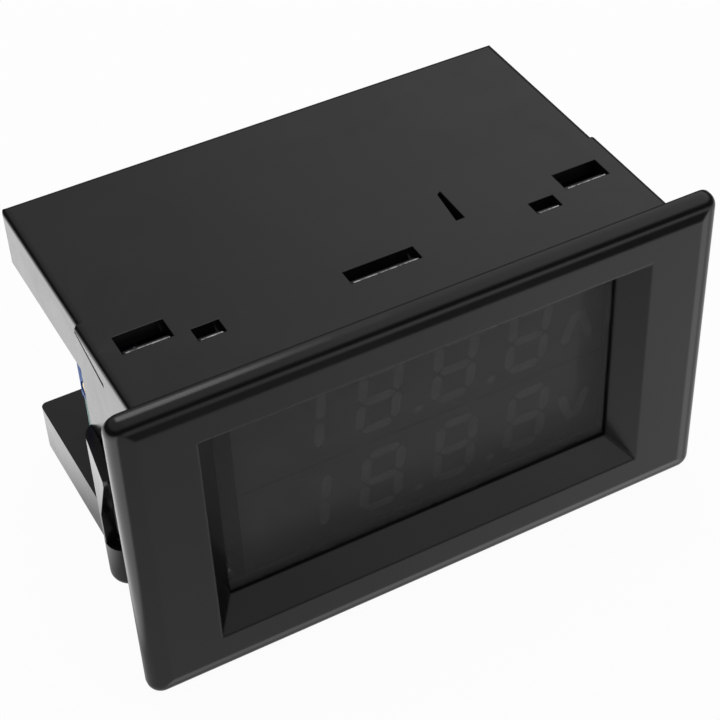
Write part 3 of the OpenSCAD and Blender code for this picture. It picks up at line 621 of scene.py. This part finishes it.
class DressDisplay(bpy.types.Operator):
    """Finish the filter, the two display rows and their unlit segments"""

    bl_idname = "panel_meter.dress_display"
    bl_label = "Display"

    def execute(self, context):
        look = context.scene.meter_finish
        self.add_filter(look)
        for name in ("upper_display", "lower_display"):
            low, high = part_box(name)
            dress(face_finish(f"{name}_ink", look.face, look.face_edge, low, high), name)
        milk = resin_finish("segment_milk", look.segment, 0.45)
        dress(milk, "upper_segments", "lower_segments")
        return {"FINISHED"}

    def add_filter(self, look):
        """The filter, with a raised middle that fills the window up to the foot of the bevels."""
        low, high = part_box("display_filter")
        middle = (low + high) / 2
        flange = (high - low) / 2
        half_w = flange.x - look.filter_lap - FILTER_CLEARANCE
        half_h = flange.z - look.filter_lap - FILTER_CLEARANCE
        front = look.filter_front
        # Half width, half height and y of each ring, from the front face to the back face.
        rings = (
            (half_w - FILTER_CHAMFER, half_h - FILTER_CHAMFER, front),
            (half_w, half_h, front + FILTER_CHAMFER),
            (half_w, half_h, low.y),
            (flange.x, flange.z, low.y),
            (flange.x, flange.z, high.y),
        )
        shape = bmesh.new()
        loops = []
        for w, h, y in rings:
            corners = ((-w, -h), (w, -h), (w, h), (-w, h))
            loops.append([shape.verts.new((middle.x + x, y, middle.z + z)) for x, z in corners])
        skin(shape, loops)
        smoke = smoked_finish("smoked_sheet", look.filter_smoke_and_sheen, look.filter_density)
        piece = new_piece("raised_filter", shape, smoke)
        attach(piece, "case")
        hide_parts("display_filter")


class DressBoards(bpy.types.Operator):
    """Finish the two circuit boards and everything soldered to them"""

    bl_idname = "panel_meter.dress_boards"
    bl_label = "Boards"

    def execute(self, context):
        look = context.scene.meter_finish
        lacquer = board_finish("lacquered_board", look.mask, look.laminate)
        dress(lacquer, "display_board", "main_board")
        chip = resin_finish("chip_resin", CHIP_BLACK, 0.5)
        dress(chip, "driver_chip", "converter_chip", "bridge_rectifier", "board_header")
        dress(metal_finish("gold_plate", GOLD, 0.22), "header_pins")
        dress(metal_finish("tin_plate", TIN, 0.3), "trimmer_leads", "terminal_contacts")
        dress(resin_finish("nylon", NYLON, 0.42), "board_spacers")
        dress(resin_finish("film_box", FILM_YELLOW, 0.25), "film_capacitor")
        self.dress_capacitors()
        dress(resin_finish("dipped_blue", VARISTOR_BLUE, 0.25), "varistor")
        self.dress_resistors()
        return {"FINISHED"}

    def dress_capacitors(self):
        """A dark sleeve, with rubber where the leads come out and a bare top at the other end."""
        low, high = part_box("supply_capacitors")
        ends = [(low.x, 0.5 * MM, SEAL_RUBBER), (high.x, 0.4 * MM, CAN_TOP)]
        dress(banded_finish("sleeve", SLEEVE_BLUE, 0.2, ends), "supply_capacitors")

    def dress_resistors(self):
        """Tan lacquer with painted bands, and bare leads at both ends."""
        pitch, first, band_half, lead_half = 0.95, -1.5, 0.17 * MM, 0.75 * MM
        low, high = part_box("resistors")
        middle = (low.x + high.x) / 2
        bands = [
            (middle + (number * pitch + first) * MM, band_half, tone)
            for number, tone in enumerate(RESISTOR_BANDS)
        ]
        bands += [(low.x, lead_half, LEAD_GREY), (high.x, lead_half, LEAD_GREY)]
        dress(banded_finish("dipped_tan", RESISTOR_TAN, 0.3, bands), "resistors")


class DressTrimmers(bpy.types.Operator):
    """Finish the two trimmers and their adjusting screws"""

    bl_idname = "panel_meter.dress_trimmers"
    bl_label = "Trimmers"

    def execute(self, context):
        look = context.scene.meter_finish
        blue = resin_finish("trimmer_blue", look.trimmer, 0.42, lift=1.2, gleam=0.12)
        dress(blue, "left_trimmer", "right_trimmer")
        brass = metal_finish("turned_brass", BRASS, 0.24)
        dress(brass, "left_trimmer_screw", "right_trimmer_screw")
        solder = metal_finish("solder", SOLDER, 0.2)
        for side in ("left", "right"):
            self.add_solder(f"{side}_solder_joints", f"{side}_trimmer", solder)
        return {"FINISHED"}

    def add_solder(self, name, trimmer, finish):
        """Three solder fillets where a trimmer's leads meet the board."""
        low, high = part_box(trimmer)
        board_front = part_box("main_board")[0].y
        middle_z = low.z - LEAD_LENGTH + FILLET_RISE
        shape = bmesh.new()
        for step in (-1, 0, 1):
            middle_x = (low.x + high.x) / 2 + step * LEAD_PITCH
            loops = []
            for radius, height in FILLET_OUTLINE:
                loop = []
                for turn in range(FILLET_TURNS):
                    angle = 2 * math.pi * turn / FILLET_TURNS
                    x = middle_x + radius * MM * math.cos(angle)
                    z = middle_z + FILLET_OVAL * radius * MM * math.sin(angle)
                    loop.append(shape.verts.new((x, board_front - height * MM, z)))
                loops.append(loop)
            skin(shape, loops, smooth=True)
        piece = new_piece(name, shape, finish)
        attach(piece, "case")


class DressTerminals(bpy.types.Operator):
    """Finish the terminal block, its screws and its clamps"""

    bl_idname = "panel_meter.dress_terminals"
    bl_label = "Terminals"

    def execute(self, context):
        look = context.scene.meter_finish
        dress(resin_finish("terminal_plastic", look.terminal, 0.4), "terminal_block")
        zinc = metal_finish("zinc_plate", ZINC, 0.3)
        yellow = metal_finish("yellow_zinc", YELLOW_ZINC, 0.33)
        dress(zinc, "board_screws")
        for number in range(1, 5):
            dress(zinc, f"terminal_screw_{number}")
            dress(yellow, f"wire_clamp_{number}")
        return {"FINISHED"}


class SetStage(bpy.types.Operator):
    """Set the floor, the room, the softbox and the camera"""

    bl_idname = "panel_meter.set_stage"
    bl_label = "Stage"

    def execute(self, context):
        stage = context.scene.meter_stage
        self.add_floor(stage)
        self.light_room(context.scene, stage)
        self.add_softbox(stage)
        self.place_camera(context.scene, stage)
        return {"FINISHED"}

    def add_floor(self, stage):
        """A floor under the bezel's lower edge and the case's rear edge, on which it rests."""
        edge_round, half = 0.9 * MM, 1.5
        bezel_low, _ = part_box("front_bezel")
        case_low, case_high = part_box("housing")
        front = Vector((0.0, -edge_round, bezel_low.z - stage.floor_drop))
        back = Vector((0.0, case_high.y - edge_round, case_low.z - stage.floor_drop))
        tilt = math.atan2(back.z - front.z, back.y - front.y)
        corners = [(-half, -half, 0), (half, -half, 0), (half, half, 0), (-half, half, 0)]
        mesh = bpy.data.meshes.new("studio_floor")
        mesh.from_pydata(corners, [], [(0, 1, 2, 3)])
        mesh.materials.append(paper_finish("studio_paper", stage))
        floor = bpy.data.objects.new("studio_floor", mesh)
        floor.location = front
        floor.rotation_euler = (tilt, 0.0, 0.0)
        bpy.context.scene.collection.objects.link(floor)

    def light_room(self, scene, stage):
        """A white room to the eye, which dims towards its horizon in light and gloss."""
        world = bpy.data.worlds.new("studio_room")
        world.use_nodes = True
        tree = world.node_tree
        x, _, z = split(tree, add(tree, "ShaderNodeTexCoord").outputs["Generated"])
        height = span(tree, z, 0.25, 0.6, stage.horizon, stage.sky)
        from_right = span(tree, x, 0.1, 0.6, 0.42, 1.0)
        level = maths(tree, "MULTIPLY", height, from_right)
        eye = seen_rays(tree, "Camera")
        unseen = maths(tree, "MULTIPLY", level, maths(tree, "SUBTRACT", 1.0, eye))
        background = tree.nodes["Background"].inputs
        tree.links.new(maths(tree, "ADD", unseen, eye), background["Strength"])
        background["Color"].default_value = WHITE
        scene.world = world

    def add_softbox(self, stage):
        """A wide lamp over the back of the meter."""
        where, aim = Vector((0.0, 0.22, 0.75)), Vector((0.0, 0.015, 0.0))
        lamp = bpy.data.lights.new("overhead_softbox", "AREA")
        lamp.shape = "RECTANGLE"
        lamp.size, lamp.size_y = 0.4, 0.5
        lamp.energy = stage.softbox
        softbox = bpy.data.objects.new("overhead_softbox", lamp)
        softbox.location = where
        softbox.rotation_mode = "QUATERNION"
        softbox.rotation_quaternion = (aim - where).to_track_quat("-Z", "Y")
        bpy.context.scene.collection.objects.link(softbox)

    def place_camera(self, scene, stage):
        """The camera, turned about its aim by its roll."""
        lens = bpy.data.cameras.new("studio_camera")
        lens.sensor_width = 36.0
        lens.lens = stage.lens
        lens.shift_x, lens.shift_y = stage.shift
        lens.clip_start, lens.clip_end = 0.01, 10.0
        camera = bpy.data.objects.new("studio_camera", lens)
        aim = Vector(stage.camera_aim).normalized()
        right = aim.cross(Vector((0.0, 0.0, 1.0))).normalized()
        up = right.cross(aim)
        cos, sin = math.cos(stage.camera_roll), math.sin(stage.camera_roll)
        turned_right = cos * right + sin * up
        turned_up = cos * up - sin * right
        turn = Matrix((turned_right, turned_up, -aim)).transposed().to_4x4()
        camera.matrix_world = Matrix.Translation(Vector(stage.camera_place)) @ turn
        scene.collection.objects.link(camera)
        scene.camera = camera
        scene.view_settings.view_transform = "Standard"


class PanelMeterPanel(bpy.types.Panel):
    """Sizes, colours and steps of the panel meter"""

    bl_label = "Panel meter"
    bl_idname = "VIEW3D_PT_panel_meter"
    bl_space_type = "VIEW_3D"
    bl_region_type = "UI"
    bl_category = "Panel meter"

    def draw(self, context):
        scene = context.scene
        for title, group in (("Finish", scene.meter_finish), ("Stage", scene.meter_stage)):
            box = self.layout.box()
            box.label(text=title)
            for key in type(group).__annotations__:
                box.prop(group, key)
        for step in STEPS:
            self.layout.operator(step.bl_idname)


STEPS = (DressMouldings, DressDisplay, DressBoards, DressTrimmers, DressTerminals, SetStage)
CLASSES = (MeterFinish, MeterStage, *STEPS, PanelMeterPanel)


def register():
    """Registers the classes and hangs the settings on the scene."""
    for item in CLASSES:
        bpy.utils.register_class(item)
    bpy.types.Scene.meter_finish = PointerProperty(type=MeterFinish)
    bpy.types.Scene.meter_stage = PointerProperty(type=MeterStage)


def unregister():
    """Takes the settings and the classes away again."""
    del bpy.types.Scene.meter_stage
    del bpy.types.Scene.meter_finish
    for item in reversed(CLASSES):
        bpy.utils.unregister_class(item)


def run_step(step):
    """Calls an operator by its bl_idname and stops the script if it didn't finish."""
    family, verb = step.bl_idname.split(".")
    if getattr(getattr(bpy.ops, family), verb)() != {"FINISHED"}:
        raise RuntimeError(f"{step.bl_label} did not finish")


def main():
    """Registers the add-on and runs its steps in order."""
    register()
    for step in STEPS:
        run_step(step)


if __name__ == "__main__":
    main()
